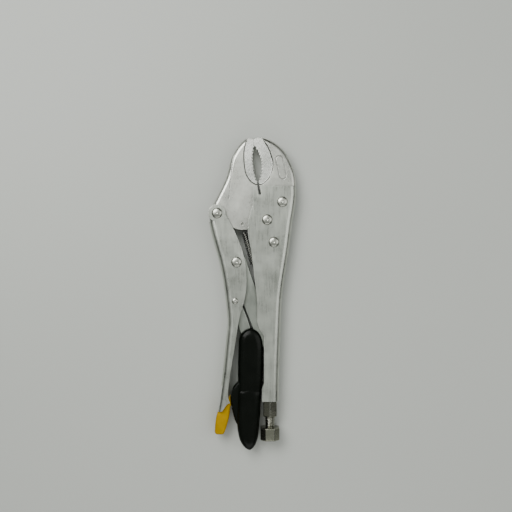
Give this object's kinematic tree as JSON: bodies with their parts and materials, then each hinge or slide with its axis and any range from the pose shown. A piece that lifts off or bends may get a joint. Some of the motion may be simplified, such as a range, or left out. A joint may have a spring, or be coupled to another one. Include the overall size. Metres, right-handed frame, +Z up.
{
  "type": "locking pliers",
  "caption": "Locking pliers with curved toothed jaws and wire cutter, stamped channel handles, toggle link, adjusting screw and a two-colour release lever.",
  "frame": {"origin": "bottom centre of the bounding box, the tool lying on its side on its rivet heads", "axes": "+Y along the tool towards the jaw tips, +X from the moving handle to the fixed handle's back, +Z up along the rivets"},
  "size_m": [0.0714, 0.2552, 0.0177],
  "materials": {
    "handle_steel": "satin nickel plate, faint rolling grain",
    "jaw_steel": "satin nickel plate on a forged surface, teeth ground bright",
    "rivet_steel": "satin plated rivet heads",
    "link_steel": "darker plain plated steel",
    "screw_steel": "bright plated, turned",
    "spring_steel": "plain drawn spring wire",
    "yellow_plastic": "hard moulded plastic, slightly glossy",
    "black_rubber": "smooth soft moulded grip, semi-gloss"
  },
  "bodies": {
    "fixed_handle": {"fixed_handle": "handle_steel", "fixed_jaw": "jaw_steel", "fixed_jaw_rivets": "rivet_steel", "jaw_pivot_rivet": "rivet_steel", "screw_bush": "screw_steel", "tension_spring": "spring_steel"},
    "lower_jaw": {"lower_jaw": "jaw_steel", "spring_pin": "rivet_steel"},
    "lower_handle": {"lower_handle": "handle_steel", "handle_pivot_rivet": "rivet_steel", "link_pivot_rivet": "rivet_steel", "lever_rivet": "rivet_steel"},
    "toggle_link": {"toggle_link": "link_steel"},
    "release_lever": {"release_lever": "link_steel", "lever_sleeve": "yellow_plastic", "lever_grip": "black_rubber", "lever_spring": "spring_steel"},
    "adjusting_screw": {"adjusting_screw": "screw_steel"},
    "screw_knob": {"screw_knob": "screw_steel"}
  },
  "joints": [
    {"name": "jaw_hinge", "type": "hinge", "parent": "fixed_handle", "child": "lower_jaw", "pos_m": [0.012, 0.05998, 0.00885], "axis": [0, 0, 1], "range_deg": [0, 20], "deforming": ["tension_spring"]},
    {"name": "handle_hinge", "type": "hinge", "parent": "lower_jaw", "child": "lower_handle", "pos_m": [-0.0287, 0.06536, 0.00885], "axis": [0, 0, 1], "range_deg": [-55.8, 0]},
    {"name": "link_hinge", "type": "hinge", "parent": "lower_handle", "child": "toggle_link", "pos_m": [-0.0129, 0.02562, 0.00885], "axis": [0, 0, 1], "range_deg": [0, 58.39]},
    {"name": "lever_hinge", "type": "hinge", "parent": "lower_handle", "child": "release_lever", "pos_m": [-0.0141, -0.00595, 0.00885], "axis": [0, 0, -1], "range_deg": [0, 3.5], "stiffness_Nm_per_rad": 0.5, "springref_deg": -2.86, "deforming": ["lever_spring"]},
    {"name": "screw_travel", "type": "slide", "parent": "fixed_handle", "child": "adjusting_screw", "axis": [0, -1, 0], "range_m": [0, 0.0125]},
    {"name": "knob_turn", "type": "hinge", "parent": "adjusting_screw", "child": "screw_knob", "pos_m": [0.0143, -0.11352, 0.00885], "axis": [0, -1, 0], "range_deg": [0, 3601]}
  ],
  "couplings": [
    {"joint": "handle_hinge", "follows": "jaw_hinge", "ratio": -2.789},
    {"joint": "link_hinge", "follows": "jaw_hinge", "ratio": 2.9184},
    {"joint": "knob_turn", "follows": "screw_travel", "rad_per_m": 5026.5}
  ]
}
